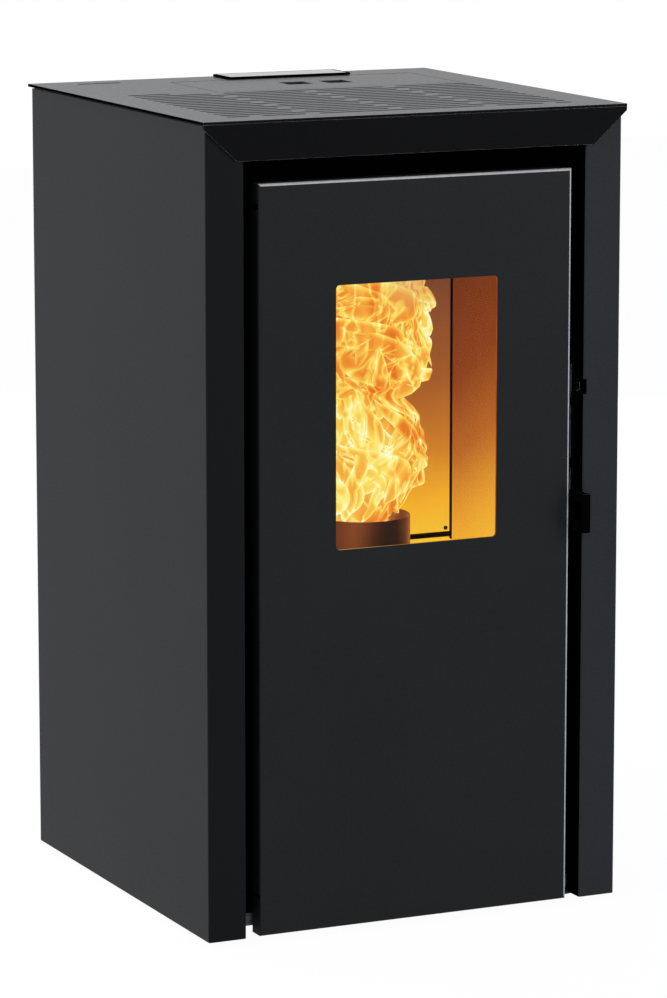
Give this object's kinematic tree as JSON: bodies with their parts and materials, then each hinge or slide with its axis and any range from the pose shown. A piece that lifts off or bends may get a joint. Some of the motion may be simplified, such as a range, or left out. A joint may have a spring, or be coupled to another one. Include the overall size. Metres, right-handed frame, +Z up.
{
  "type": "pellet stove",
  "caption": "Free-standing pellet stove: folded steel casing, glazed hinged front door, firebox with burn pot, lidded top hopper, feed screw, exhaust blower and room fan.",
  "frame": {"origin": "on the floor, under the middle of the bounding box", "axes": "+Z up, the front (door) faces -Y, +X is to the right seen from the front"},
  "size_m": [0.488, 0.536, 0.8708],
  "materials": {
    "casing_paint": "matt black, fine grain",
    "chin_paint": "matt black, fine grain",
    "inner_black": "dull black, heat resistant",
    "zinc_steel": "zinc-plated sheet",
    "bright_steel": "turned steel",
    "cast_iron": "heat-browned iron",
    "firebox_lining": "heat-resistant board, lit by the fire",
    "ceramic": "unglazed",
    "door_glass": "clear heat-resistant glass",
    "rope_seal": "braided glass fibre",
    "display": "gloss black touch face",
    "black_plastic": "fine texture",
    "foot_rubber": "moulded",
    "flame": "glowing flame and embers, light-giving"
  },
  "bodies": {
    "casing": {"base_tray": "zinc_steel", "side_panel_left": "casing_paint", "side_panel_right": "casing_paint", "rear_panel": "casing_paint", "top_cover": "chin_paint", "lid_pivot_left": "zinc_steel", "lid_pivot_right": "zinc_steel", "control_panel_bezel": "black_plastic", "control_panel_display": "display", "inner_front_frame": "inner_black", "hinge_bracket_lower": "inner_black", "hinge_bracket_upper": "inner_black", "latch_keeper": "zinc_steel", "firebox_shell": "cast_iron", "firebox_back_panel": "firebox_lining", "firebox_lining_left": "firebox_lining", "firebox_lining_right": "firebox_lining", "baffle_plate": "firebox_lining", "pot_support": "cast_iron", "drawer_runners": "zinc_steel", "igniter": "ceramic", "air_inlet_pipe": "zinc_steel", "auger_bearing": "cast_iron", "auger_gearmotor": "zinc_steel", "auger_tube": "zinc_steel", "pellet_chute": "zinc_steel", "pellet_hopper": "zinc_steel", "hopper_grate": "zinc_steel", "smoke_duct": "zinc_steel", "exhaust_blower_housing": "cast_iron", "exhaust_motor": "black_plastic", "flue_spigot": "inner_black", "room_fan_housing": "zinc_steel", "room_fan_motor": "black_plastic", "control_board_box": "black_plastic", "power_inlet": "black_plastic", "switch_frame": "black_plastic"},
    "door": {"door_panel": "casing_paint", "door_inner_frame": "inner_black", "door_rope_seal": "rope_seal", "glass_gasket": "rope_seal", "door_glass": "door_glass", "glass_clip_lower": "zinc_steel", "glass_clip_upper": "zinc_steel", "hinge_lug_lower": "inner_black", "hinge_lug_upper": "inner_black", "latch_bracket": "inner_black"},
    "handle": {"door_handle": "casing_paint"},
    "lid": {"hopper_lid": "casing_paint"},
    "drawer": {"ash_drawer": "zinc_steel"},
    "pot": {"burn_pot": "cast_iron"},
    "screw": {"auger_screw": "bright_steel"},
    "smoke_impeller": {"exhaust_impeller": "bright_steel"},
    "room_rotor": {"room_fan_rotor": "bright_steel"},
    "rocker": {"power_rocker": "black_plastic"},
    "cap": {"thermostat_cap": "black_plastic"},
    "foot_front_left": {"levelling_foot_front_left": "foot_rubber"},
    "foot_front_right": {"levelling_foot_front_right": "foot_rubber"},
    "foot_rear_left": {"levelling_foot_rear_left": "foot_rubber"},
    "foot_rear_right": {"levelling_foot_rear_right": "foot_rubber"}
  },
  "joints": [
    {"name": "door_swing", "type": "hinge", "parent": "casing", "child": "door", "pos_m": [-0.172, -0.228, 0.414], "axis": [0, 0, -1], "range_deg": [0, 110]},
    {"name": "handle_turn", "type": "hinge", "parent": "door", "child": "handle", "pos_m": [0.188, -0.232, 0.504], "axis": [0, 0, 1], "range_deg": [0, 35]},
    {"name": "lid_hinge", "type": "hinge", "parent": "casing", "child": "lid", "pos_m": [0.052, 0.179, 0.8605], "axis": [-1, 0, 0], "range_deg": [0, 80]},
    {"name": "ash_drawer_slide", "type": "slide", "parent": "casing", "child": "drawer", "axis": [0, -1, 0], "range_m": [0, 0.135]},
    {"name": "burn_pot_lift", "type": "slide", "parent": "casing", "child": "pot", "axis": [0, 0, 1], "range_m": [0, 0.038]},
    {"name": "auger_turn", "type": "hinge", "parent": "casing", "child": "screw", "pos_m": [0, 0.14, 0.308], "axis": [0, -0.5, 0.866], "continuous": true},
    {"name": "smoke_impeller_turn", "type": "hinge", "parent": "casing", "child": "smoke_impeller", "pos_m": [-0.13, 0.11, 0.1], "axis": [0, 0, 1], "continuous": true},
    {"name": "room_fan_turn", "type": "hinge", "parent": "casing", "child": "room_rotor", "pos_m": [0.08, 0.056, 0.0778], "axis": [1, 0, 0], "continuous": true},
    {"name": "power_rocker_tilt", "type": "hinge", "parent": "casing", "child": "rocker", "pos_m": [0.19, 0.2377, 0.104], "axis": [1, 0, 0], "range_deg": [0, 13]},
    {"name": "thermostat_cap_turn", "type": "hinge", "parent": "casing", "child": "cap", "pos_m": [0.19, 0.238, 0.142], "axis": [0, 1, 0], "continuous": true},
    {"name": "foot_front_left_turn", "type": "hinge", "parent": "casing", "child": "foot_front_left", "pos_m": [-0.205, -0.18, 0], "axis": [0, 0, 1], "continuous": true},
    {"name": "foot_front_right_turn", "type": "hinge", "parent": "casing", "child": "foot_front_right", "pos_m": [0.205, -0.18, 0], "axis": [0, 0, 1], "continuous": true},
    {"name": "foot_rear_left_turn", "type": "hinge", "parent": "casing", "child": "foot_rear_left", "pos_m": [-0.205, 0.205, 0], "axis": [0, 0, 1], "continuous": true},
    {"name": "foot_rear_right_turn", "type": "hinge", "parent": "casing", "child": "foot_rear_right", "pos_m": [0.205, 0.205, 0], "axis": [0, 0, 1], "continuous": true}
  ],
  "couplings": [
    {"joint": "ash_drawer_slide", "follows": "door_swing", "m_per_rad": 0.07}
  ]
}
